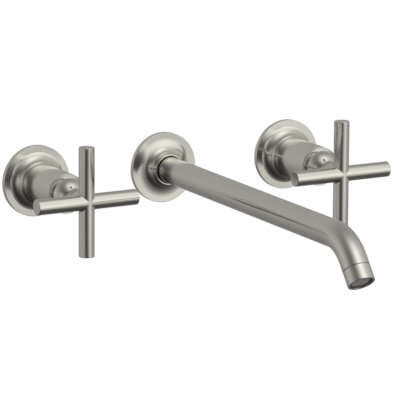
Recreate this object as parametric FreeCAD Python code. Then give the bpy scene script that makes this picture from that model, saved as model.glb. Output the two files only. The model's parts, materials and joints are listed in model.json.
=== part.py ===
import FreeCAD, Part
import math
import os

# Wall mounted bath faucet: two cross handles and a tubular spout.
# Millimetres. +X runs along the wall, +Z is up, the wall's face is the plane y = 0
# and the faucet reaches out along -Y. The origin is on the spout's axis at the wall.

# ---------------------------------------------------------------- driving dimensions
HANDLE_OFFSET = 101.6        # spout axis to handle axis, half of 8 inch centres

FLANGE_RADIUS = 25.4         # all three escutcheons
FLANGE_BACK = -0.5           # their rims stand this far off the wall on the gaskets
FLANGE_FRONT = -4.0
FLANGE_EDGE = 0.35           # chamfer round the rim's front
FLANGE_INSIDE = 23.6         # the recess behind the rim that holds the gasket
RECESS_DEPTH = -2.6
GASKET_RADIUS = 24.8
GASKET_INSIDE = 19.6

BARREL_RADIUS = 14.0
BARREL_FRONT = -50.8
BARREL_REAR = -3.2

CROSS_DEPTH = -81.0          # plane of the cross arms
ARM_RADIUS = 5.52
ARM_REACH = 38.4             # handle axis to the end of an arm
ARM_EDGE = 0.5               # rounding on the arms' ends
ARM_BLEND = 1.2              # rounding where the arms cross
DOME_RADIUS = 12.1
DOME_BASE = -52.5
RING_RADIUS = 13.9
RING_BACK = -51.4
SPIGOT_RADIUS = 10.8         # turns inside the barrel's mouth
BARREL_MOUTH = 11.2

TUBE_RADIUS = 9.4
TUBE_BORE = 7.5
TUBE_REAR = -7.2
BEND_START = -240.95
BEND_RADIUS = 33.0           # to the tube's centreline
BEND_ANGLE = 51.9
TUBE_TAIL = 6.3              # straight length after the bend
OUTLET_REACH = 17.4          # bend end to the aerator's mouth
AERATOR_SOCKET = 8.5         # bore in the tube's end that holds the aerator
AERATOR_BORE = 7.8
CARTRIDGE_RADIUS = 7.7
CARTRIDGE_BORE = 6.6
MESH_FRONT = -16.1           # the screen stands just inside the mouth
MESH_THICKNESS = 0.5

NIPPLE_RADIUS = 7.4          # slides into the spout tube
NIPPLE_HEX_FRONT = -5.6
NIPPLE_FRONT = -31.0
SPOUT_ORINGS = (-11.4, -26.0)
SPOUT_SCREW_Y = -17.0        # headless screw under the spout

THREAD_RADIUS = 10.48        # G 1/2, drawn as a plain cylinder
THREAD_REACH = 9.0           # how far the valve bodies' tails reach behind the wall
SPOUT_THREAD_REACH = 12.0
RELIEF_RADIUS = 10.1         # plain neck between the thread and the hexagon
RELIEF_END = -0.6
HEX_FLATS = 21.0
HEX_BACK = -2.5
HEX_FRONT = -8.0

STEM_RADIUS = 4.9
STEM_CLEARANCE = 0.05
BODY_FRONT = -40.0
CROWN_FRONT = -43.0
STEM_FLATS = 6.9             # square end that carries the handle
STEM_SQUARE = -46.0
STEM_FRONT = -60.0
STEM_ORINGS = (-20.0, -26.0)
ADAPTER_RADIUS = 6.0
HANDLE_SCREW_Y = -56.4       # headless screw under the dome
SCREW_RADIUS = 2.0
TURN = 90.0                  # quarter turn from shut to open
LUG_WIDTH = 30.0             # degrees
LUG_PLAY = 2.0               # degrees left at each stop

CHAMBER_RADIUS = 7.3         # bore that holds the ceramic discs
DISC_RADIUS = 7.2
DISC_THICKNESS = 3.0
DISC_GAP = 0.05              # lapped faces, drawn just apart
SLEEVE_RADIUS = 8.8
SLEEVE_END = 21.0
FIXED_DISC_BACK = 20.5

WALL_AXIS = FreeCAD.Vector(0, 1, 0)


# ---------------------------------------------------------------- helpers
def vector(x, y, z):
    """A FreeCAD vector."""
    return FreeCAD.Vector(x, y, z)


def turned(outline):
    """Revolve a closed outline of (radius, y) points about the Y axis.

    A step written (mid radius, mid y, end radius, end y) is an arc.
    """
    here = vector(outline[0][0], outline[0][1], 0)
    edges = []
    for step in outline[1:] + [outline[0]]:
        end = vector(step[-2], step[-1], 0)
        if len(step) == 4:
            middle = vector(step[0], step[1], 0)
            edges.append(Part.Arc(here, middle, end).toShape())
        elif here.distanceToPoint(end) > 1e-6:
            edges.append(Part.makeLine(here, end))
        here = end
    face = Part.Face(Part.Wire(edges))
    return face.revolve(vector(0, 0, 0), WALL_AXIS, 360)


def arc_step(centre, radius, start, end):
    """The arc step of an outline, with angles in degrees from +radius towards -y."""
    middle = math.radians((start + end) / 2)
    last = math.radians(end)
    return (
        centre[0] + radius * math.cos(middle),
        centre[1] - radius * math.sin(middle),
        centre[0] + radius * math.cos(last),
        centre[1] - radius * math.sin(last),
    )


def rod(radius, back, front):
    """A cylinder on the Y axis from y = front up to y = back."""
    return Part.makeCylinder(radius, back - front, vector(0, front, 0), WALL_AXIS)


def pipe(outer, inner, back, front):
    """A hollow cylinder on the Y axis."""
    return rod(outer, back, front).cut(rod(inner, back, front))


def prism(flats, sides, back, front):
    """A regular prism on the Y axis, measured across its flats."""
    corner = flats / 2 / math.cos(math.pi / sides)
    points = []
    for index in range(sides + 1):
        angle = 2 * math.pi * (index + 0.5) / sides
        points.append(vector(corner * math.cos(angle), front, corner * math.sin(angle)))
    face = Part.Face(Part.makePolygon(points))
    return face.extrude(vector(0, back - front, 0))


def sector(radius, start, end, back, front):
    """A pie slice about the Y axis, in degrees from +X towards +Z."""
    first = math.radians(start)
    middle = math.radians((start + end) / 2)
    last = math.radians(end)
    rim = []
    for angle in (first, middle, last):
        rim.append(vector(radius * math.cos(angle), front, radius * math.sin(angle)))
    hub = vector(0, front, 0)
    edges = [
        Part.makeLine(hub, rim[0]),
        Part.Arc(rim[0], rim[1], rim[2]).toShape(),
        Part.makeLine(rim[2], hub),
    ]
    return Part.Face(Part.Wire(edges)).extrude(vector(0, back - front, 0))


def ring(mean_radius, section_radius, y):
    """An O-ring about the Y axis."""
    return Part.makeTorus(mean_radius, section_radius, vector(0, y, 0), WALL_AXIS)


def grub_screw(radius, length, socket_flats, socket_depth):
    """A headless screw standing on the origin along +Z, its hex socket on top."""
    screw = Part.makeCylinder(radius, length)
    tip = Part.makeCone(radius, radius - 0.5, 0.5)
    tip.rotate(vector(0, 0, 0), vector(1, 0, 0), 180)
    screw = screw.fuse(tip).removeSplitter()
    corner = socket_flats / math.sqrt(3)
    points = []
    for index in range(7):
        angle = math.pi * index / 3
        points.append(vector(corner * math.cos(angle), corner * math.sin(angle), length))
    socket = Part.Face(Part.makePolygon(points)).extrude(vector(0, 0, -socket_depth))
    return screw.cut(socket)


# ---------------------------------------------------------------- shared by all three
def gasket():
    """Foam ring that sits in the escutcheon's back and seals it to the wall."""
    outside = FLANGE_INSIDE - 0.1
    front = RECESS_DEPTH + 0.05
    return turned([
        (GASKET_INSIDE, 0),
        (GASKET_RADIUS, 0),
        (GASKET_RADIUS, FLANGE_BACK),
        (outside, FLANGE_BACK),
        (outside, front),
        (GASKET_INSIDE, front),
    ])


def body_washer():
    """Fibre washer under the hexagon of a threaded body."""
    return pipe(12.6, THREAD_RADIUS + 0.1, -1.1, HEX_BACK)


def threaded_tail(reach):
    """Threaded end of a body, with a plain neck up to its hexagon."""
    return rod(THREAD_RADIUS, reach, RELIEF_END).fuse(rod(RELIEF_RADIUS, RELIEF_END, HEX_BACK))


# ---------------------------------------------------------------- handle stations
def cove_points(centre, radius, first, last):
    """A concave quarter in an escutcheon, from slope first to slope last in degrees."""
    points = []
    for slope in (first, (first + last) / 2, last):
        angle = math.radians(slope)
        points.append((
            centre[0] - radius * math.sin(angle),
            centre[1] + radius * math.cos(angle),
        ))
    return points


def handle_escutcheon():
    """Flange with a flat lip and a cove that runs up to the barrel."""
    start, middle, end = cove_points((21.8, -11.7), 7.7, 8.2, 80.8)
    bore = BARREL_RADIUS + 0.15
    return turned([
        (FLANGE_RADIUS, FLANGE_BACK),
        (FLANGE_RADIUS, FLANGE_FRONT + FLANGE_EDGE),
        (FLANGE_RADIUS - FLANGE_EDGE, FLANGE_FRONT),
        start,
        middle + end,
        (bore, end[1] - 0.1),
        (bore, -8.0),
        (16.5, -5.2),
        (19.0, -3.6),
        (19.5, -2.8),
        (FLANGE_INSIDE, RECESS_DEPTH),
        (FLANGE_INSIDE, FLANGE_BACK),
    ])


def barrel():
    """Sleeve that screws onto the valve body and hides it."""
    return turned([
        (12.8, BARREL_REAR),
        (BARREL_RADIUS, BARREL_REAR),
        (BARREL_RADIUS, BARREL_FRONT + 0.4),
        (BARREL_RADIUS - 0.4, BARREL_FRONT),
        (BARREL_MOUTH, BARREL_FRONT),
        (BARREL_MOUTH, -47.8),
        (12.4, -46.6),
        (12.4, -34.0),
        (9.55, -34.0),
        (9.55, -30.0),
        (12.8, -30.0),
    ])


def valve_body():
    """Brass headwork: threaded tail, hexagon, long bonnet and stop crown."""
    tail = threaded_tail(THREAD_REACH)
    sleeve = rod(SLEEVE_RADIUS, SLEEVE_END, THREAD_REACH)
    hexagon = prism(HEX_FLATS, 6, HEX_BACK, HEX_FRONT)
    bonnet = rod(9.5, HEX_FRONT, BODY_FRONT)
    crown = rod(8.0, BODY_FRONT, CROWN_FRONT)
    body = tail.multiFuse([sleeve, hexagon, bonnet, crown])
    slot = sector(
        12.0,
        -LUG_WIDTH / 2 - LUG_PLAY,
        TURN + LUG_WIDTH / 2 + LUG_PLAY,
        BODY_FRONT,
        CROWN_FRONT - 1,
    )
    cuts = [
        rod(CHAMBER_RADIUS, SLEEVE_END + 1, 8.0),
        rod(STEM_RADIUS + STEM_CLEARANCE, 9.0, BODY_FRONT - 1),
        rod(5.4, BODY_FRONT, CROWN_FRONT - 1),
        slot,
    ]
    for angle in (0, 90):
        window = Part.makeCylinder(2.0, 24, vector(-12, 11.4, 0), vector(1, 0, 0))
        window.rotate(vector(0, 0, 0), WALL_AXIS, angle)
        cuts.append(window)
    for cut in cuts:
        body = body.cut(cut)
    return body.removeSplitter()


def seat_seal():
    """Rubber ring that seals the fixed disc to the in-wall valve."""
    return pipe(DISC_RADIUS, 5.2, 22.0, FIXED_DISC_BACK)


def disc(back):
    """Ceramic disc with two facing ports."""
    blank = rod(DISC_RADIUS, back, back - DISC_THICKNESS)
    for start in (50, 230):
        port = sector(5.8, start, start + 80, back + 1, back - DISC_THICKNESS - 1)
        port = port.cut(rod(1.6, back + 2, back - DISC_THICKNESS - 2))
        blank = blank.cut(port)
    return blank


def fixed_disc():
    """Ceramic disc keyed in the body."""
    return disc(FIXED_DISC_BACK)


def moving_disc():
    """Ceramic disc that turns on the fixed one; its ports stand across it when shut."""
    plate = disc(FIXED_DISC_BACK - DISC_THICKNESS - DISC_GAP)
    plate.rotate(vector(0, 0, 0), WALL_AXIS, 90)
    return plate


def spindle():
    """Brass stem: disc driver, two ring grooves, stop lug and square end."""
    driver_back = FIXED_DISC_BACK - 2 * DISC_THICKNESS - DISC_GAP
    driver_front = driver_back - 2.4
    stem = rod(STEM_RADIUS, driver_front, STEM_SQUARE)
    driver = rod(6.9, driver_back, driver_front)
    square = prism(STEM_FLATS, 4, STEM_SQUARE, STEM_FRONT)
    half = LUG_WIDTH / 2
    lug = sector(7.6, -half, half, BODY_FRONT - 0.3, CROWN_FRONT + 0.3)
    stem = stem.multiFuse([driver, square, lug])
    for y in STEM_ORINGS:
        stem = stem.cut(pipe(STEM_RADIUS + 1, 3.9, y + 0.6, y - 0.6))
    return stem.removeSplitter()


def spindle_orings():
    """Two O-rings in the spindle's grooves."""
    rings = [ring(4.4, 0.5, y) for y in STEM_ORINGS]
    return Part.makeCompound(rings)


def handle_adapter():
    """Brass insert in the handle with the square socket for the stem."""
    back = -49.6
    front = STEM_FRONT - 0.4
    sleeve = rod(ADAPTER_RADIUS, back, front)
    socket = prism(STEM_FLATS + 0.1, 4, back + 1, front - 1)
    return sleeve.cut(socket).cut(handle_screw_hole(SCREW_RADIUS + 0.05))


def handle_screw_hole(radius):
    """Radial hole on the underside of the dome."""
    start = vector(0, HANDLE_SCREW_Y, 0)
    return Part.makeCylinder(radius, 20, start, vector(0, 0, -1))


def handle_screw():
    """Headless screw that clamps the handle to the stem."""
    screw = grub_screw(SCREW_RADIUS, 6.2, 2.0, 2.2)
    screw.rotate(vector(0, 0, 0), vector(1, 0, 0), 180)
    screw.translate(vector(0, HANDLE_SCREW_Y, -4.1))
    return screw


def rounded_arm(direction):
    """A round rod through the cross's middle, its ends slightly rounded."""
    start = vector(0, CROSS_DEPTH, 0) - direction * ARM_REACH
    bar = Part.makeCylinder(ARM_RADIUS, 2 * ARM_REACH, start, direction)
    rims = [edge for edge in bar.Edges if edge.Closed and len(edge.Vertexes) == 1]
    return bar.makeFillet(ARM_EDGE, rims)


def handle():
    """Cross handle in one forging: dome, neck and four arms."""
    neck = ARM_RADIUS
    fillet = 3.0
    join = DOME_RADIUS + fillet
    rise = math.sqrt(join ** 2 - (neck + fillet) ** 2)
    touch = math.degrees(math.atan2(rise, neck + fillet))
    fillet_centre = (neck + fillet, DOME_BASE - rise)
    half = math.radians(touch / 2)
    body = turned([
        (8.6, -48.6),
        (SPIGOT_RADIUS, -48.6),
        (SPIGOT_RADIUS, DOME_BASE),
        (DOME_RADIUS, DOME_BASE),
        arc_step((0, DOME_BASE), DOME_RADIUS, 0, touch),
        (
            fillet_centre[0] - fillet * math.cos(half),
            fillet_centre[1] + fillet * math.sin(half),
            neck,
            fillet_centre[1],
        ),
        (neck, CROSS_DEPTH),
        (0, CROSS_DEPTH),
        (0, STEM_FRONT - 0.6),
        (ADAPTER_RADIUS, STEM_FRONT - 0.6),
        (ADAPTER_RADIUS, -53.5),
        (8.6, -53.5),
    ])
    cross = rounded_arm(vector(1, 0, 0)).fuse(rounded_arm(vector(0, 0, 1)))
    body = body.fuse(cross).removeSplitter()
    body = blend_crossing(body)
    return body.cut(handle_screw_hole(SCREW_RADIUS))


def blend_crossing(body):
    """Round the inside corners where the four arms and the neck meet."""
    centre = vector(0, CROSS_DEPTH, 0)
    corners = []
    for edge in body.Edges:
        box = edge.BoundBox
        near = box.Center.distanceToPoint(centre) < ARM_RADIUS * 1.6
        if near and not isinstance(edge.Curve, (Part.Line, Part.Circle)):
            corners.append(edge)
    return body.makeFillet(ARM_BLEND, corners)


def handle_ring():
    """Trim ring between the dome and the barrel; it turns with the handle."""
    return turned([
        (SPIGOT_RADIUS, RING_BACK),
        (RING_RADIUS - 0.2, RING_BACK),
        (RING_RADIUS, RING_BACK - 0.2),
        (RING_RADIUS, DOME_BASE + 0.3),
        (RING_RADIUS - 0.3, DOME_BASE),
        (SPIGOT_RADIUS, DOME_BASE),
    ])


# ---------------------------------------------------------------- spout
def spout_adapter():
    """Brass nipple in the wall that the spout slides onto."""
    bore = 4.6
    groove = 6.1
    seat = 6.7
    outside = NIPPLE_RADIUS + 1
    body = threaded_tail(SPOUT_THREAD_REACH)
    hexagon = prism(HEX_FLATS, 6, HEX_BACK, NIPPLE_HEX_FRONT)
    nose = rod(NIPPLE_RADIUS, NIPPLE_HEX_FRONT, NIPPLE_FRONT)
    body = body.multiFuse([hexagon, nose])
    cuts = [
        rod(bore, SPOUT_THREAD_REACH + 1, NIPPLE_FRONT - 1),
        pipe(outside, seat, SPOUT_SCREW_Y + 2.4, SPOUT_SCREW_Y - 2.4),
    ]
    for y in SPOUT_ORINGS:
        cuts.append(pipe(outside, groove, y + 0.8, y - 0.8))
    for cut in cuts:
        body = body.cut(cut)
    return body.removeSplitter()


def spout_orings():
    """Two O-rings on the nipple."""
    rings = [ring(6.8, 0.7, y) for y in SPOUT_ORINGS]
    return Part.makeCompound(rings)


def spout_set_screw():
    """Headless screw under the spout that locks it on the nipple."""
    screw = grub_screw(SCREW_RADIUS, 1.9, 2.0, 1.2)
    screw.rotate(vector(0, 0, 0), vector(1, 0, 0), 180)
    screw.translate(vector(0, SPOUT_SCREW_Y, -7.25))
    return screw


def spout_escutcheon():
    """Trumpet shaped flange that draws in to a collar round the spout."""
    flare_slope = 15
    flare_start, flare_middle, flare_end = cove_points((21.06, -20.83), 17, -2.5, flare_slope)
    cove_start, cove_middle, cove_end = cove_points((17.68, -10.867), 6.5, flare_slope, 89)
    bore = TUBE_RADIUS + 0.15
    groove = 10.6
    mouth = 10.0
    front = -12.6
    edge = 0.15
    return turned([
        (FLANGE_RADIUS, FLANGE_BACK),
        (FLANGE_RADIUS, FLANGE_FRONT + FLANGE_EDGE),
        flare_start,
        flare_middle + flare_end,
        cove_start,
        cove_middle + cove_end,
        (cove_end[0], front + edge),
        (cove_end[0] - edge, front),
        (mouth + edge, front),
        (mouth, front + edge),
        (mouth, -12.0),
        (groove, -11.8),
        (groove, -10.2),
        (bore, -10.2),
        (bore, -8.6),
        (10.8, -8.2),
        (12.2, -6.0),
        (15.0, -3.9),
        (18.5, -3.0),
        (FLANGE_INSIDE, RECESS_DEPTH),
        (FLANGE_INSIDE, FLANGE_BACK),
    ])


def spout_escutcheon_oring():
    """O-ring that grips the tube inside the collar."""
    return ring(10.0, 0.58, -11.0)


def on_outlet(shape):
    """Move a shape from the Y axis, y measured back from the bend's end, to the outlet."""
    shape.rotate(vector(0, 0, 0), vector(1, 0, 0), BEND_ANGLE)
    angle = math.radians(BEND_ANGLE)
    shape.translate(vector(
        0,
        BEND_START - BEND_RADIUS * math.sin(angle),
        -BEND_RADIUS * (1 - math.cos(angle)),
    ))
    return shape


def spout_tube():
    """Bent tube, bored at the end for the aerator."""
    straight = pipe(TUBE_RADIUS, TUBE_BORE, TUBE_REAR, BEND_START)
    start = vector(0, BEND_START, 0)
    outer = Part.Wire(Part.makeCircle(TUBE_RADIUS, start, WALL_AXIS))
    inner = Part.Wire(Part.makeCircle(TUBE_BORE, start, WALL_AXIS))
    section = Part.Face(outer).cut(Part.Face(inner)).Faces[0]
    pivot = vector(0, BEND_START, -BEND_RADIUS)
    bend = section.revolve(pivot, vector(1, 0, 0), BEND_ANGLE)
    tail = on_outlet(pipe(TUBE_RADIUS, TUBE_BORE, 0, -TUBE_TAIL))
    tube = straight.multiFuse([bend, tail])
    socket = on_outlet(rod(AERATOR_SOCKET, -0.6, -TUBE_TAIL - 1))
    edge = on_outlet(turned([
        (TUBE_RADIUS - 0.3, -TUBE_TAIL),
        (TUBE_RADIUS + 0.2, -TUBE_TAIL),
        (TUBE_RADIUS + 0.2, -TUBE_TAIL + 0.5),
    ]))
    hole = Part.makeCylinder(SCREW_RADIUS, 12, vector(0, SPOUT_SCREW_Y, 0), vector(0, 0, -1))
    for cut in (socket, edge, hole):
        tube = tube.cut(cut)
    return tube.removeSplitter()


def aerator_washer():
    """Rubber washer between the tube's shoulder and the aerator."""
    return on_outlet(pipe(8.4, 6.6, -0.6, -1.8))


def aerator_housing():
    """Outer cup of the aerator, screwed into the spout."""
    back = -TUBE_TAIL - 0.3
    front = -OUTLET_REACH
    return on_outlet(turned([
        (7.2, -1.8),
        (8.4, -1.8),
        (8.4, back),
        (TUBE_RADIUS - 0.3, back),
        (TUBE_RADIUS, back - 0.3),
        (TUBE_RADIUS, front + 0.5),
        (TUBE_RADIUS - 0.15, front + 0.15),
        (TUBE_RADIUS - 0.5, front),
        (8.1, front),
        (AERATOR_BORE, front + 0.3),
        (AERATOR_BORE, -8.0),
        (7.2, -8.0),
    ]))


def drilled(ring_radius, count, hole_radius):
    """A ring of holes right through the inside of the aerator."""
    holes = []
    for index in range(count):
        angle = 2 * math.pi * index / count
        place = vector(
            ring_radius * math.cos(angle), -OUTLET_REACH, ring_radius * math.sin(angle))
        holes.append(Part.makeCylinder(hole_radius, OUTLET_REACH, place, WALL_AXIS))
    return holes


def aerator_cartridge():
    """Plastic insert: outer ring and a perforated flow plate."""
    cage = pipe(CARTRIDGE_RADIUS, CARTRIDGE_BORE, -8.2, MESH_FRONT - 0.4)
    plate = rod(CARTRIDGE_BORE, -12.0, -13.4)
    for ring_radius, count in ((2.2, 6), (4.8, 12)):
        for hole in drilled(ring_radius, count, 0.75):
            plate = plate.cut(hole)
    return on_outlet(cage.fuse(plate).removeSplitter())


def aerator_regulator():
    """Flow restrictor disc at the inlet side of the insert."""
    body = rod(CARTRIDGE_BORE - 0.1, -8.4, -10.6)
    for hole in drilled(4.0, 6, 1.1):
        body = body.cut(hole)
    return on_outlet(body)


def aerator_mesh():
    """Steel screen just inside the mouth: a grid of square holes."""
    pitch = 1.45
    hole = 1.0
    back = MESH_FRONT + MESH_THICKNESS
    disc_blank = rod(CARTRIDGE_BORE - 0.1, back, MESH_FRONT)
    holes = []
    for column in range(-4, 5):
        for row in range(-4, 5):
            reach = math.hypot(column, row) * pitch + hole * 0.7
            if reach < 6.2:
                left = column * pitch - hole / 2
                low = row * pitch - hole / 2
                corner = vector(left, MESH_FRONT - 1, low)
                holes.append(Part.makeBox(hole, MESH_THICKNESS + 2, hole, corner))
    return on_outlet(disc_blank.cut(Part.makeCompound(holes)))


# ---------------------------------------------------------------- assembly
STATION = {
    "escutcheon": handle_escutcheon,
    "gasket": gasket,
    "barrel": barrel,
    "valve_body": valve_body,
    "body_washer": body_washer,
    "seat_seal": seat_seal,
    "fixed_disc": fixed_disc,
    "moving_disc": moving_disc,
    "spindle": spindle,
    "spindle_orings": spindle_orings,
    "handle_adapter": handle_adapter,
    "handle": handle,
    "handle_ring": handle_ring,
    "handle_screw": handle_screw,
}
HANDED = ("valve_body", "moving_disc", "spindle")

SPOUT = {
    "spout_escutcheon": spout_escutcheon,
    "spout_escutcheon_oring": spout_escutcheon_oring,
    "spout_gasket": gasket,
    "spout_adapter": spout_adapter,
    "spout_washer": body_washer,
    "spout_orings": spout_orings,
    "spout_set_screw": spout_set_screw,
    "spout_tube": spout_tube,
    "aerator_washer": aerator_washer,
    "aerator_housing": aerator_housing,
    "aerator_cartridge": aerator_cartridge,
    "aerator_regulator": aerator_regulator,
    "aerator_mesh": aerator_mesh,
}


def write(node, shape):
    """Check a node's solids and write them to parts/."""
    for solid in shape.Solids:
        if not solid.isValid():
            raise RuntimeError(node + " is not a valid solid")
    body = shape.Solids[0] if len(shape.Solids) == 1 else Part.makeCompound(shape.Solids)
    body.exportStep("parts/" + node + ".step")
    print(node, len(shape.Solids), round(body.Volume, 1))


def main():
    """Build every node and write it."""
    os.makedirs("parts", exist_ok=True)
    for node, make in SPOUT.items():
        write(node, make())
    for side, offset in (("hot", -HANDLE_OFFSET), ("cold", HANDLE_OFFSET)):
        for name, make in STATION.items():
            shape = make()
            if side == "cold" and name in HANDED:
                shape = shape.mirror(vector(0, 0, 0), vector(1, 0, 0))
            shape.translate(vector(offset, 0, 0))
            write(side + "_" + name, shape)


main()
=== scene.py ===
import json
import logging
import math
from collections.abc import Callable, Sequence
from dataclasses import dataclass, field
from enum import Enum
from typing import Any

import bmesh
import bpy
from mathutils import Matrix, Vector


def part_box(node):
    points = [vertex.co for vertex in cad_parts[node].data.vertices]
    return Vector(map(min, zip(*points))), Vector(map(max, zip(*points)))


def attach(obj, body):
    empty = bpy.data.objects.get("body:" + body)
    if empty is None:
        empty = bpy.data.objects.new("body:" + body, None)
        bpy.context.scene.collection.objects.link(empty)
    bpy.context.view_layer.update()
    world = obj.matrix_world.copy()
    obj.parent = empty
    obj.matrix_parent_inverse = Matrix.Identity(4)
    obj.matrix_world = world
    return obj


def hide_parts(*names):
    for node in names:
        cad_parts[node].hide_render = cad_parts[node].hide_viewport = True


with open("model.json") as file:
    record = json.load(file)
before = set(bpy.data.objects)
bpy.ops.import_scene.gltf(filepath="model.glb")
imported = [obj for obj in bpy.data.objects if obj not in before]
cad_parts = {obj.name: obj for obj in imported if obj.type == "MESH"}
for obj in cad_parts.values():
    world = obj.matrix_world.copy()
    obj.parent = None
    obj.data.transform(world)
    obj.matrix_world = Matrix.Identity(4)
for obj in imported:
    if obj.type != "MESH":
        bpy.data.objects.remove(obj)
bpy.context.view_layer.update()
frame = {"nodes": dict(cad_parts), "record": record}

LOG = logging.getLogger("faucet")
MM = 0.001
SHARP_ANGLE = math.radians(32)  # a corner sharper than this is shaded as an edge
DRILL_SIDES = 48
CLOUD_PER_METRE = 45.0          # the tone drifts over patches about 22 mm across
NOISE_LOW, NOISE_HIGH = 0.3, 0.7  # where most of a noise texture's values lie
LEAST_ROUGHNESS = 0.02
BUMP_STRENGTH = 0.5
EDGE_STARTS, EDGE_FULL = 0.51, 0.56  # pointiness where wear starts, and is complete

Rgba = tuple[float, float, float, float]


def linear(code: str) -> Rgba:
    """Turn an sRGB hex colour into linear RGBA.

    Args:
        code: Six hex digits, with or without a leading hash.

    Returns:
        The linear colour with an alpha of 1.
    """
    digits = code.lstrip("#")
    channels = [int(digits[i:i + 2], 16) / 255 for i in (0, 2, 4)]
    red, green, blue = (
        c / 12.92 if c <= 0.04045 else ((c + 0.055) / 1.055) ** 2.4 for c in channels)
    return (red, green, blue, 1.0)


def add_node(
    tree: bpy.types.NodeTree,
    kind: str,
    inputs: dict[Any, Any] | None = None,
    **settings: Any,
) -> bpy.types.Node:
    """Add one node with its settings, values and links.

    Args:
        tree: The node tree to add to.
        kind: The node's type name.
        inputs: Socket name or index to a value, or to an output socket to link from.
        settings: Attributes set on the node itself.

    Returns:
        The new node.
    """
    node = tree.nodes.new(kind)
    for key, value in settings.items():
        setattr(node, key, value)
    for key, value in (inputs or {}).items():
        socket = node.inputs[key]
        if isinstance(value, bpy.types.NodeSocket):
            tree.links.new(value, socket)
        else:
            socket.default_value = value
    return node


# ------------------------------------------------------------------ finishes
@dataclass(frozen=True)
class Finish:
    """How one real material looks: its base colour, how it was made and how it wears.

    The grain's sizes are in millimetres: how long one mark is along the way the surface
    was worked, and how far it is to the next one.
    """

    name: str
    colour: str
    metallic: float
    roughness: float
    grain_mm: float
    streak_mm: float = 0.0
    bump_mm: float = 0.01
    spread: float = 0.05
    shade: float = 0.06
    worn: float = 0.0

    def build(self) -> bpy.types.Material:
        """Make the material.

        Returns:
            The material, with its colour, roughness and bump varied by real-size grain.
        """
        made = bpy.data.materials.new(self.name)
        made.use_nodes = True
        tree = made.node_tree
        tree.nodes.clear()
        place = add_node(tree, "ShaderNodeTexCoord")
        grain = add_node(tree, "ShaderNodeTexNoise", {
            "Vector": self.grain_place(tree, place),
            "Scale": 1.0,
            "Detail": 3.0,
        })
        cloud = add_node(tree, "ShaderNodeTexNoise", {
            "Vector": place.outputs["Object"],
            "Scale": CLOUD_PER_METRE,
            "Detail": 2.0,
        })
        rough = add_node(tree, "ShaderNodeMapRange", {
            0: grain.outputs[0],
            1: NOISE_LOW,
            2: NOISE_HIGH,
            3: max(LEAST_ROUGHNESS, self.roughness - self.spread),
            4: self.roughness + self.spread,
        })
        tone = linear(self.colour)
        dark = tuple(c * (1 - self.shade) for c in tone[:3]) + (1.0,)
        blend = add_node(tree, "ShaderNodeMix", {
            0: cloud.outputs[0], 6: dark, 7: tone,
        }, data_type="RGBA")
        colour = self.wear(tree, blend.outputs[2], tone)
        bump = add_node(tree, "ShaderNodeBump", {
            "Height": grain.outputs[0],
            "Distance": self.bump_mm * MM,
            "Strength": BUMP_STRENGTH,
        })
        shader = add_node(tree, "ShaderNodeBsdfPrincipled", {
            "Base Color": colour,
            "Metallic": self.metallic,
            "Roughness": rough.outputs[0],
            "Normal": bump.outputs[0],
        })
        add_node(tree, "ShaderNodeOutputMaterial", {0: shader.outputs[0]})
        return made

    def grain_place(
        self, tree: bpy.types.NodeTree, place: bpy.types.Node
    ) -> bpy.types.NodeSocket:
        """Work out where a point lies in the grain.

        Args:
            tree: The material's node tree.
            place: Its texture coordinate node.

        Returns:
            The socket that holds the point, counted in grains.
        """
        if self.streak_mm:
            source = place.outputs["UV"]
            scale = (1 / self.streak_mm, 1 / self.grain_mm, 1.0)
        else:
            source = place.outputs["Object"]
            scale = (1 / (self.grain_mm * MM),) * 3
        spot = add_node(
            tree, "ShaderNodeVectorMath", {0: source, 1: scale}, operation="MULTIPLY")
        return spot.outputs[0]

    def wear(
        self, tree: bpy.types.NodeTree, colour: bpy.types.NodeSocket, tone: Rgba
    ) -> bpy.types.NodeSocket:
        """Lighten the outward edges, where hands and cloths rub first.

        Args:
            tree: The material's node tree.
            colour: The socket of the colour so far.
            tone: The unworn colour.

        Returns:
            The socket of the worn colour.
        """
        if not self.worn:
            return colour
        bare = tuple(min(1.0, c * (1 + self.worn)) for c in tone[:3]) + (1.0,)
        shape = add_node(tree, "ShaderNodeNewGeometry")
        edge = add_node(tree, "ShaderNodeMapRange", {
            0: shape.outputs["Pointiness"],
            1: EDGE_STARTS,
            2: EDGE_FULL,
            3: 0.0,
            4: 1.0,
        })
        rubbed = add_node(tree, "ShaderNodeMix", {
            0: edge.outputs[0], 6: colour, 7: bare}, data_type="RGBA")
        return rubbed.outputs[2]


class Slot(Enum):
    """The record's material slots and the finish of each."""

    # Nickel plated brass, brushed and sealed: warm grey, with soft edged reflections.
    NICKEL = Finish("satin_nickel", "#E4E3DF", 1.0, 0.16, 0.5,
                    bump_mm=0.0015, spread=0.02, shade=0.04, worn=0.04)
    # Turned brass left bare inside the wall: yellow, with fine cutter marks.
    BRASS = Finish("turned_brass", "#D9B26A", 1.0, 0.28, 0.6, worn=0.1)
    # Sintered alumina lapped flat: off-white with a faint sheen.
    CERAMIC = Finish("lapped_alumina", "#E8E6E0", 0.0, 0.25, 0.3)
    # Moulded nitrile: black and dull.
    RUBBER = Finish("moulded_nitrile", "#121212", 0.0, 0.60, 0.8, bump_mm=0.03)
    # Closed cell foam: dark grey with small pits.
    FOAM = Finish("closed_cell_foam", "#2A2A2A", 0.0, 0.90, 0.7, bump_mm=0.1)
    # Pressed fibre: red-brown and matt.
    FIBRE = Finish("pressed_fibre", "#8C4A36", 0.0, 0.80, 0.5, bump_mm=0.05)
    # Injection moulded acetal: dark grey with a soft sheen.
    PLASTIC = Finish("moulded_acetal", "#6E6E6C", 0.0, 0.45, 1.0)
    # Drawn stainless steel: cool grey.
    STEEL = Finish("stainless_wire", "#D2D2D0", 1.0, 0.30, 0.4)


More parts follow.
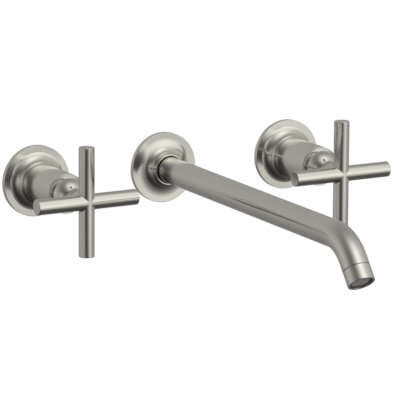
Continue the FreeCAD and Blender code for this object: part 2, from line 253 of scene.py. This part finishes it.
# The same nickel on round parts, spun under the brush: the strokes run round the part.
# Real strokes are a few hundredths of a millimetre apart; these are coarser, to show.
SPUN_NICKEL = Finish("spun_satin_nickel", "#E4E3DF", 1.0, 0.16, 0.35, streak_mm=9.0,
                     bump_mm=0.0015, spread=0.02, shade=0.04, worn=0.04)


@dataclass
class Workshop:
    """The finishes made so far, each made once."""

    made: dict[str, bpy.types.Material] = field(default_factory=dict)

    def finish(self, kind: Finish) -> bpy.types.Material:
        """Give the material of a finish, making it the first time.

        Args:
            kind: The finish wanted.

        Returns:
            Its material.
        """
        if kind.name not in self.made:
            self.made[kind.name] = kind.build()
        return self.made[kind.name]

    def dress(self, piece: bpy.types.Object, kind: Finish, slot: str) -> None:
        """Put a finish on a new piece.

        Args:
            piece: The piece.
            kind: Its finish.
            slot: The record's material slot that it stands for; not used.
        """
        piece.data.materials.append(self.finish(kind))

    def dress_frame(self) -> None:
        """Give every carried-over node the finish of its slot."""
        for part in frame["record"]["subparts"]:
            node = frame["nodes"][part["node"]]
            kind = Slot[part["material_slot"].upper()]
            for slot in node.material_slots:
                slot.material = self.finish(kind.value)
            # A wall would keep the brass out of the satin parts' reflections, and there
            # is none. Brass is hidden from brass too, so its bores look closed.
            node.visible_glossy = kind not in (Slot.BRASS, Slot.FIBRE)
            LOG.info("%s is %s", node.name, kind.value.name)


# ------------------------------------------------------------------ turned shapes
@dataclass(frozen=True)
class Corner:
    """A corner of a turned outline, in mm: its radius, where it is, its rounding."""

    radius: float
    along: float
    rounding: float = 0.0


def soften(corners: Sequence[Corner], steps: int = 16) -> list[tuple[float, float]]:
    """Round the corners of a closed outline.

    Args:
        corners: The outline's corners in order.
        steps: How many chords each rounded corner gets.

    Returns:
        The outline's points as (radius, distance along the axis).
    """
    points = []
    for index, corner in enumerate(corners):
        here = Vector((corner.radius, corner.along))
        if not corner.rounding:
            points.append((here.x, here.y))
            continue
        before, after = corners[index - 1], corners[(index + 1) % len(corners)]
        back = (Vector((before.radius, before.along)) - here).normalized()
        ahead = (Vector((after.radius, after.along)) - here).normalized()
        half = back.angle(ahead) / 2
        centre = here + (back + ahead).normalized() * corner.rounding / math.sin(half)
        first = here + back * corner.rounding / math.tan(half) - centre
        sweep = math.pi - 2 * half
        if first.y * back.x < first.x * back.y:
            sweep = -sweep
        for step in range(steps + 1):
            turn = sweep * step / steps
            points.append((
                centre.x + first.x * math.cos(turn) - first.y * math.sin(turn),
                centre.y + first.x * math.sin(turn) + first.y * math.cos(turn),
            ))
    return points


def split_runs(
    outline: list[tuple[float, float]], longest: float, low: float, high: float
) -> list[tuple[float, float]]:
    """Add points along the runs of an outline that lie between two distances.

    Args:
        outline: The closed outline.
        longest: The longest run allowed there, in mm.
        low: Where the stretch starts along the axis.
        high: Where it ends.

    Returns:
        The outline with the added points.
    """
    points = []
    for index, start in enumerate(outline):
        end = outline[(index + 1) % len(outline)]
        stops = [0.0]
        span = end[1] - start[1]
        if abs(span) > longest:
            count = int(abs(span) / longest) + 1
            for step in range(1, count):
                share = step / count
                if low < start[1] + span * share < high:
                    stops.append(share)
        for share in stops:
            points.append((
                start[0] + (end[0] - start[0]) * share, start[1] + span * share))
    return points


@dataclass(frozen=True)
class Spine:
    """The axis that a turned part follows: straight out of the wall, then maybe a bend.

    Distances are in mm, and run outwards from the wall.
    """

    centre: Vector = field(default_factory=lambda: Vector((0, 0, 0)))
    bend_start: float = 1e6
    bend_radius: float = 1.0
    bend_angle: float = 0.0

    @property
    def bend_end(self) -> float:
        """How far along the axis the bend ends."""
        return self.bend_start + self.bend_radius * self.bend_angle

    def place(self, along: float) -> Matrix:
        """Find the cross-section's place at a distance along the axis.

        Args:
            along: The distance.

        Returns:
            A matrix in mm whose X and Z axes span the section and whose -Y axis
            runs on.
        """
        if along <= self.bend_start:
            return Matrix.Translation(self.centre + Vector((0, -along, 0)))
        turn = min((along - self.bend_start) / self.bend_radius, self.bend_angle)
        rest = max(0.0, along - self.bend_end)
        pivot = self.centre + Vector((0, -self.bend_start, -self.bend_radius))
        return (
            Matrix.Translation(pivot)
            @ Matrix.Rotation(turn, 4, "X")
            @ Matrix.Translation((0, -rest, self.bend_radius))
        )


def revolve(
    name: str, outline: list[tuple[float, float]], spine: Spine, sides: int = 144
) -> bpy.types.Object:
    """Turn a closed outline about a spine.

    Args:
        name: The piece's name.
        outline: Points as (radius, distance along the spine) in mm.
        spine: The axis.
        sides: How many faces go round.

    Returns:
        The piece, with UVs in mm: along the turning stroke, and across it.
    """
    mesh = bpy.data.meshes.new(name)
    shape = bmesh.new()
    grid = shape.loops.layers.uv.new("strokes")
    rings, across = [], [0.0]
    for index, (radius, along) in enumerate(outline):
        place = spine.place(along)
        rings.append([
            shape.verts.new((place @ Vector((
                radius * math.cos(2 * math.pi * side / sides), 0,
                radius * math.sin(2 * math.pi * side / sides)))) * MM)
            for side in range(sides)
        ])
        following = outline[(index + 1) % len(outline)]
        across.append(across[-1] + math.dist(following, (radius, along)))
    girth = 2 * math.pi * max(radius for radius, _ in outline)
    for index, ring in enumerate(rings):
        following = rings[(index + 1) % len(rings)]
        for side in range(sides):
            other = (side + 1) % sides
            face = shape.faces.new(
                (ring[side], ring[other], following[other], following[side]))
            face.smooth = True
            low, high = girth * side / sides, girth * (side + 1) / sides
            spots = ((low, across[index]), (high, across[index]),
                     (high, across[index + 1]), (low, across[index + 1]))
            for loop, spot in zip(face.loops, spots):
                loop[grid].uv = spot
    bmesh.ops.recalc_face_normals(shape, faces=shape.faces)
    shape.to_mesh(mesh)
    shape.free()
    return finish_mesh(name, mesh)


def finish_mesh(name: str, mesh: bpy.types.Mesh) -> bpy.types.Object:
    """Link a mesh into the scene, its flats shaded flat and its rounds shaded round.

    Args:
        name: The piece's name.
        mesh: Its mesh.

    Returns:
        The piece.
    """
    mesh.set_sharp_from_angle(angle=SHARP_ANGLE)
    piece = bpy.data.objects.new(name, mesh)
    bpy.context.scene.collection.objects.link(piece)
    even = piece.modifiers.new("even_shading", "WEIGHTED_NORMAL")
    even.keep_sharp = True
    even.weight = 50
    return piece


def drill(piece: bpy.types.Object, start: Vector, radius: float, depth: float) -> None:
    """Drill a hole straight up into a piece.

    Args:
        piece: The piece.
        start: The hole's mouth, in mm.
        radius: The hole's radius, in mm.
        depth: Its depth, in mm.
    """
    mesh = bpy.data.meshes.new("drill")
    shape = bmesh.new()
    middle = start + Vector((0, 0, depth / 2))
    bmesh.ops.create_cone(
        shape, cap_ends=True, segments=DRILL_SIDES, radius1=radius * MM,
        radius2=radius * MM, depth=depth * MM, matrix=Matrix.Translation(middle * MM))
    shape.to_mesh(mesh)
    shape.free()
    tool = bpy.data.objects.new("drill", mesh)
    bpy.context.scene.collection.objects.link(tool)
    cut = piece.modifiers.new("hole", "BOOLEAN")
    cut.object = tool
    cut.solver = "EXACT"
    piece.modifiers.move(len(piece.modifiers) - 1, 0)
    bpy.context.view_layer.update()
    solid = bpy.data.meshes.new_from_object(
        piece.evaluated_get(bpy.context.evaluated_depsgraph_get()))
    piece.modifiers.remove(cut)
    old = piece.data
    piece.data = solid
    solid.set_sharp_from_angle(angle=SHARP_ANGLE)
    bpy.data.meshes.remove(old)
    bpy.data.objects.remove(tool)


def stand_for(piece: bpy.types.Object, node: str, body: str) -> bpy.types.Object:
    """Put a piece in a node's place on its body.

    Args:
        piece: The piece.
        node: The node that it replaces.
        body: The body that it rides on.

    Returns:
        The piece.
    """
    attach(piece, body)
    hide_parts(node)
    LOG.info("%s stands for %s on %s", piece.name, node, body)
    return piece


# ------------------------------------------------------------------ handle stations
class Side(Enum):
    """Which handle, by the water that it turns."""

    HOT = "hot"
    COLD = "cold"


@dataclass
class Flange:
    """The rim that all three escutcheons share, in mm."""

    radius: float = 25.4
    back: float = 0.5
    front: float = 4.0
    edge: float = 0.3
    inside: float = 23.6
    recess: float = 2.6

    def rim(self) -> list[Corner]:
        """The rim's corners, from the wall to its front edge."""
        return [
            Corner(self.radius, self.back, 0.12),
            Corner(self.radius, self.front, self.edge),
        ]

    def inner(self) -> list[Corner]:
        """The corners of the recess that holds the gasket."""
        return [Corner(self.inside, self.recess), Corner(self.inside, self.back, 0.1)]


@dataclass
class HandleStation:
    """One handle's flange, barrel and trim ring, in mm. Its handle is the CAD node."""

    side: Side
    shop: Workshop
    flange: Flange = field(default_factory=Flange)
    lip_inside: float = 20.7
    lip_front: float = 4.08
    cove: float = 7.69
    collar_radius: float = 14.2
    collar_front: float = 10.47
    barrel_play: float = 0.02
    barrel_radius: float = 14.0
    barrel_inside: float = 12.8
    barrel_rear: float = 3.2
    barrel_front: float = 50.8
    mouth_radius: float = 11.2
    handle_room: float = 12.4
    thread_radius: float = 9.55
    thread_rear: float = 30.0
    thread_front: float = 34.0
    ring_back: float = 51.4
    ring_front: float = 52.5
    ring_radius: float = 13.9
    spigot_radius: float = 10.8

    def name(self, node: str) -> str:
        """The full name of one of this side's nodes."""
        return f"{self.side.value}_{node}"

    def spine(self) -> Spine:
        """The handle's axis."""
        low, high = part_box(self.name("barrel"))
        return Spine(Vector((
            (low[0] + high[0]) / 2 / MM, 0, (low[2] + high[2]) / 2 / MM)))

    def build(self) -> None:
        """Make and dress the flange, barrel and trim ring."""
        parts: dict[str, tuple[Callable[[], list[Corner]], str]] = {
            "escutcheon": (self.escutcheon, "wall_set"),
            "barrel": (self.barrel, "wall_set"),
            "handle_ring": (self.ring, f"{self.side.value}_turning"),
        }
        for node, (corners, body) in parts.items():
            piece = revolve(
                self.name(node) + "_turned", soften(corners()), self.spine())
            self.shop.dress(piece, SPUN_NICKEL, "nickel")
            stand_for(piece, self.name(node), body)

    def escutcheon(self) -> list[Corner]:
        """The flange: a flat lip, and a cove that runs up to the barrel.

        Returns:
            The outline's corners.
        """
        bore = self.barrel_radius + self.barrel_play
        return [
            *self.flange.rim(),
            Corner(self.lip_inside, self.lip_front, 0.05),
            Corner(15.105, 4.886, self.cove),
            Corner(self.collar_radius, self.collar_front),
            Corner(bore, self.collar_front + 0.1),
            Corner(bore, 8.0),
            Corner(16.5, 5.2),
            Corner(19.0, 3.6),
            Corner(19.5, 2.8),
            *self.flange.inner(),
        ]

    def barrel(self) -> list[Corner]:
        """The sleeve over the valve body.

        Returns:
            The outline's corners.
        """
        return [
            Corner(self.barrel_inside, self.barrel_rear),
            Corner(self.barrel_radius, self.barrel_rear),
            Corner(self.barrel_radius, self.barrel_front, 0.35),
            Corner(self.mouth_radius, self.barrel_front, 0.15),
            Corner(self.mouth_radius, 47.8),
            Corner(self.handle_room, 46.6),
            Corner(self.handle_room, self.thread_front),
            Corner(self.thread_radius, self.thread_front),
            Corner(self.thread_radius, self.thread_rear),
            Corner(self.barrel_inside, self.thread_rear),
        ]

    def ring(self) -> list[Corner]:
        """The trim ring between barrel and dome.

        Returns:
            The outline's corners.
        """
        return [
            Corner(self.spigot_radius, self.ring_back),
            Corner(self.ring_radius, self.ring_back, 0.2),
            Corner(self.ring_radius, self.ring_front, 0.25),
            Corner(self.spigot_radius, self.ring_front),
        ]


# ------------------------------------------------------------------ spout
@dataclass
class Spout:
    """The spout's flange, its bent tube and its aerator, in mm."""

    shop: Workshop
    flange: Flange = field(default_factory=Flange)
    tube_radius: float = 9.4
    tube_bore: float = 7.5
    tube_rear: float = 7.2
    bend_start: float = 240.95
    bend_radius: float = 33.0
    bend_angle: float = math.radians(51.9)
    tail: float = 6.3
    outlet: float = 17.4
    socket: float = 8.5
    bend_step: float = 1.2
    tube_sides: int = 128
    collar_play: float = 0.15
    collar_front: float = 12.6
    mouth_radius: float = 10.0
    groove_radius: float = 10.6
    groove_rear: float = 10.2
    cup_radius: float = 8.4
    cup_bore: float = 7.2
    cup_rear: float = 1.8
    cup_mouth: float = 7.8
    cup_step: float = 8.0
    screw_at: float = 17.0
    screw_radius: float = 2.0
    drill_below: float = 12.0
    drill_depth: float = 6.0
    mesh_radius: float = 6.45
    mesh_depth: float = 1.55
    wire_pitch: float = 0.95
    wire_radius: float = 0.19
    wire_sides: int = 6
    wire_steps: int = 8

    def spine(self) -> Spine:
        """The spout's axis."""
        return Spine(
            Vector((0, 0, 0)), self.bend_start, self.bend_radius, self.bend_angle)

    def build(self) -> None:
        """Make and dress the flange, the tube and the aerator."""
        spine = self.spine()
        end = spine.bend_end
        flange = revolve("spout_escutcheon_turned", soften(self.escutcheon()), spine)
        housing = revolve("aerator_housing_turned", soften(self.housing(end)), spine)
        outline = split_runs(
            soften(self.tube(end)), self.bend_step, self.bend_start - 2, end + 1)
        tube = revolve("spout_tube_bent", outline, spine, self.tube_sides)
        drill_from = Vector((0, -self.screw_at, -self.drill_below))
        drill(tube, drill_from, self.screw_radius, self.drill_depth)
        screen = self.screen(spine.place(end + self.outlet - self.mesh_depth))
        for piece, node in (
            (flange, "spout_escutcheon"),
            (housing, "aerator_housing"),
            (tube, "spout_tube"),
        ):
            self.shop.dress(piece, SPUN_NICKEL, "nickel")
            stand_for(piece, node, "wall_set")
        self.shop.dress(screen, Slot.STEEL.value, "steel")
        stand_for(screen, "aerator_mesh", "wall_set")

    def escutcheon(self) -> list[Corner]:
        """The trumpet flange, drawn in to a collar round the tube.

        Returns:
            The outline's corners.
        """
        bore = self.tube_radius + self.collar_play
        return [
            *self.flange.rim(),
            Corner(19.2, 3.73, 17.0),
            Corner(11.381, 5.82, 6.5),
            Corner(11.17, self.collar_front, 0.3),
            Corner(self.mouth_radius, self.collar_front, 0.35),
            Corner(self.mouth_radius, 12.0),
            Corner(self.groove_radius, 11.8),
            Corner(self.groove_radius, self.groove_rear),
            Corner(bore, self.groove_rear),
            Corner(bore, 8.6),
            Corner(10.8, 8.2),
            Corner(12.2, 6.0),
            Corner(15.0, 3.9),
            Corner(18.5, 3.0),
            *self.flange.inner(),
        ]

    def tube(self, end: float) -> list[Corner]:
        """The tube's wall, bored at the end for the aerator.

        Args:
            end: Where the bend ends along the spine.

        Returns:
            The outline's corners.
        """
        tip = end + self.tail
        return [
            Corner(self.tube_bore, self.tube_rear),
            Corner(self.tube_radius, self.tube_rear, 0.3),
            Corner(self.tube_radius, tip, 0.28),
            Corner(self.socket, tip, 0.1),
            Corner(self.socket, end + 0.6),
            Corner(self.tube_bore, end + 0.6),
        ]

    def housing(self, end: float) -> list[Corner]:
        """The aerator's outer cup.

        Args:
            end: Where the bend ends along the spine.

        Returns:
            The outline's corners.
        """
        back = end + self.tail + 0.3
        front = end + self.outlet
        return [
            Corner(self.cup_bore, end + self.cup_rear),
            Corner(self.cup_radius, end + self.cup_rear),
            Corner(self.cup_radius, back),
            Corner(self.tube_radius, back, 0.28),
            Corner(self.tube_radius, front, 0.45),
            Corner(self.cup_mouth, front, 0.35),
            Corner(self.cup_mouth, end + self.cup_step),
            Corner(self.cup_bore, end + self.cup_step),
        ]

    def screen(self, place: Matrix) -> bpy.types.Object:
        """Weave the wire screen inside the mouth.

        Args:
            place: The screen's place, in mm.

        Returns:
            The screen.
        """
        mesh = bpy.data.meshes.new("aerator_screen_woven")
        shape = bmesh.new()
        lines = int(self.mesh_radius / self.wire_pitch)
        for turned in (False, True):
            for line in range(-lines, lines + 1):
                offset = line * self.wire_pitch
                half = math.sqrt(max(0.0, self.mesh_radius ** 2 - offset ** 2))
                if half < self.wire_pitch:
                    continue
                self.wire(shape, place, offset, half, turned, line)
        bmesh.ops.recalc_face_normals(shape, faces=shape.faces)
        for face in shape.faces:
            face.smooth = True
        shape.to_mesh(mesh)
        shape.free()
        return finish_mesh("aerator_screen_woven", mesh)

    def wire(
        self, shape: bmesh.types.BMesh, place: Matrix, offset: float, half: float,
        turned: bool, line: int,
    ) -> None:
        """Lay one wire of the screen, over and under the ones that it crosses.

        Args:
            shape: The mesh being made.
            place: The screen's place, in mm.
            offset: How far the wire is from the middle.
            half: Half its length.
            turned: Whether it runs up the screen instead of across.
            line: Its number from the middle.
        """
        sides = self.wire_sides
        count = max(self.wire_steps, int(half * self.wire_steps / self.wire_pitch))
        rings = []
        for step in range(count + 1):
            along = -half + 2 * half * step / count
            phase = math.pi * (along / self.wire_pitch + line + (1 if turned else 0))
            lift = self.wire_radius * math.cos(phase)
            ring = []
            for side in range(sides):
                angle = 2 * math.pi * side / sides
                across = offset + self.wire_radius * math.cos(angle)
                deep = lift + self.wire_radius * math.sin(angle)
                spot = (across, deep, along) if turned else (along, deep, across)
                ring.append(shape.verts.new((place @ Vector(spot)) * MM))
            rings.append(ring)
        for start, end in zip(rings, rings[1:]):
            for side in range(sides):
                other = (side + 1) % sides
                shape.faces.new((start[side], start[other], end[other], end[side]))
        shape.faces.new(rings[0])
        shape.faces.new(rings[-1])


# ------------------------------------------------------------------ studio
@dataclass(frozen=True)
class SoftLamp:
    """A large soft lamp far off: direction and spread in degrees, and strength."""

    azimuth: float
    elevation: float
    spread: float
    strength: float

    def direction(self) -> Vector:
        """The unit vector towards the lamp; azimuth 0 is out from the wall."""
        turn, lift = math.radians(self.azimuth), math.radians(self.elevation)
        return Vector((
            math.sin(turn) * math.cos(lift),
            -math.cos(turn) * math.cos(lift),
            math.sin(lift),
        ))


class Lamp(Enum):
    """The studio's soft lamps. None stands behind the camera, so it is dark there."""

    KEY = SoftLamp(26, 5, 20, 1.0)
    TOP = SoftLamp(12, 58, 21, 1.1)
    HIGH_RIGHT = SoftLamp(80, 35, 20, 0.3)
    RIGHT = SoftLamp(90, -5, 28, 0.28)
    LEFT = SoftLamp(-66, -3, 14, 0.42)
    LEFT_BACK = SoftLamp(-112, 0, 25, 0.36)
    BACK = SoftLamp(180, 20, 45, 0.42)


@dataclass
class Studio:
    """Pale floor, soft lamps on a white backdrop, and the camera."""

    azimuth: float = -28.84
    elevation: float = 12.44
    roll: float = 0.36
    distance: float = 2.6661
    lens_mm: float = 331.8
    sensor_mm: float = 36.0
    nearest: float = 0.05
    farthest: float = 100.0
    aim: tuple[float, float, float] = (0.03172, -0.00004, -0.02784)
    floor_level: float = -0.6
    floor_reach: float = 30.0
    warmth: str = "#FFFCF6"

    def build(self) -> None:
        """Make the floor, the light and the camera."""
        self.build_floor()
        self.build_light()
        self.build_camera()

    def build_floor(self) -> None:
        """Lay a wide pale floor well below the spout."""
        mesh = bpy.data.meshes.new("floor")
        reach, level = self.floor_reach, self.floor_level
        corners = [(-reach, -reach), (reach, -reach), (reach, reach), (-reach, reach)]
        mesh.from_pydata([(x, y, level) for x, y in corners], [], [(0, 1, 2, 3)])
        floor = bpy.data.objects.new("floor", mesh)
        bpy.context.scene.collection.objects.link(floor)
        paint = bpy.data.materials.new("pale_floor")
        paint.use_nodes = True
        paint.node_tree.nodes.clear()
        glow = add_node(paint.node_tree, "ShaderNodeEmission", {
            "Color": (1, 1, 1, 1), "Strength": 1.0})
        add_node(paint.node_tree, "ShaderNodeOutputMaterial", {0: glow.outputs[0]})
        mesh.materials.append(paint)
        floor.visible_glossy = False
        floor.visible_diffuse = False

    def build_light(self) -> None:
        """Light the room with the soft lamps; the camera itself sees white."""
        world = bpy.data.worlds.new("studio")
        bpy.context.scene.world = world
        world.use_nodes = True
        tree = world.node_tree
        tree.nodes.clear()
        place = add_node(tree, "ShaderNodeTexCoord")
        total: bpy.types.NodeSocket | float = 0.0
        for lamp in Lamp:
            total = self.add_lamp(tree, place.outputs["Generated"], lamp.value, total)
        room = add_node(
            tree, "ShaderNodeBackground", {0: linear(self.warmth), 1: total})
        white = add_node(tree, "ShaderNodeBackground", {0: (1, 1, 1, 1), 1: 1.0})
        ray = add_node(tree, "ShaderNodeLightPath")
        seen = add_node(tree, "ShaderNodeMixShader", {
            0: ray.outputs["Is Camera Ray"], 1: room.outputs[0], 2: white.outputs[0]})
        add_node(tree, "ShaderNodeOutputWorld", {0: seen.outputs[0]})

    def add_lamp(
        self, tree: bpy.types.NodeTree, toward: bpy.types.NodeSocket, lamp: SoftLamp,
        total: bpy.types.NodeSocket | float,
    ) -> bpy.types.NodeSocket:
        """Add one soft lamp to the room's light.

        Args:
            tree: The world's node tree.
            toward: The socket that holds the direction looked in.
            lamp: The lamp.
            total: The light so far.

        Returns:
            The light with the lamp added.
        """
        sharpness = 1 / math.radians(lamp.spread) ** 2
        near = add_node(tree, "ShaderNodeVectorMath", {
            0: toward, 1: lamp.direction()}, operation="DOT_PRODUCT")
        drop = add_node(tree, "ShaderNodeMath", {
            0: near.outputs["Value"], 1: sharpness, 2: -sharpness,
        }, operation="MULTIPLY_ADD")
        glow = add_node(
            tree, "ShaderNodeMath", {0: drop.outputs[0]}, operation="EXPONENT")
        added = add_node(tree, "ShaderNodeMath", {
            0: glow.outputs[0], 1: lamp.strength, 2: total}, operation="MULTIPLY_ADD")
        return added.outputs[0]

    def build_camera(self) -> None:
        """Stand the camera where it sees the whole faucet from the front left."""
        lens = bpy.data.cameras.new("camera")
        camera = bpy.data.objects.new("camera", lens)
        bpy.context.scene.collection.objects.link(camera)
        turn, lift = math.radians(self.azimuth), math.radians(self.elevation)
        back = Vector((
            math.sin(turn) * math.cos(lift),
            -math.cos(turn) * math.cos(lift),
            math.sin(lift),
        ))
        side = Vector((0, 0, 1)).cross(back).normalized()
        up = back.cross(side)
        tilt = math.radians(self.roll)
        right = side * math.cos(tilt) + up * math.sin(tilt)
        top = up * math.cos(tilt) - side * math.sin(tilt)
        axes = Matrix((right, top, back)).transposed().to_4x4()
        axes.translation = Vector(self.aim) + back * self.distance
        camera.matrix_world = axes
        lens.sensor_width = self.sensor_mm
        lens.lens = self.lens_mm
        lens.clip_start = self.nearest
        lens.clip_end = self.farthest
        bpy.context.scene.camera = camera


def main() -> None:
    """Build the scene."""
    logging.basicConfig(level=logging.INFO, format="%(message)s")
    bpy.context.scene.view_settings.view_transform = "Standard"
    shop = Workshop()
    shop.dress_frame()
    for side in Side:
        HandleStation(side, shop).build()
    Spout(shop).build()
    Studio().build()


if __name__ == "__main__":
    main()
